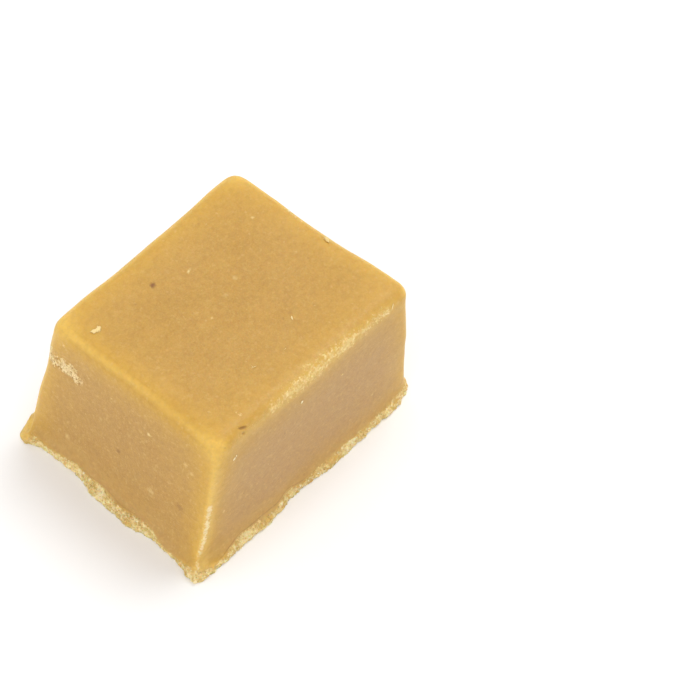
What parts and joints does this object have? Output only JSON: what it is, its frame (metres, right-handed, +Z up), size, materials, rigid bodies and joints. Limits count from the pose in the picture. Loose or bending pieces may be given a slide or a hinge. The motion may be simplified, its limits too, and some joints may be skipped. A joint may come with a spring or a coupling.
{
  "type": "fudge cube",
  "caption": "A hand-cut block of butter-coloured fudge with leaning walls, softly rounded top edges and a thin crumbly lip squeezed out along its flat foot.",
  "frame": {"origin": "middle of the foot's bounding box, on the surface that the fudge stands on", "axes": "+Z up, +X along the block's long side, +Y along its short side"},
  "size_m": [0.0318, 0.0258, 0.018],
  "materials": {
    "fudge": null
  },
  "bodies": {
    "root": {"fudge": "fudge"}
  },
  "joints": []
}
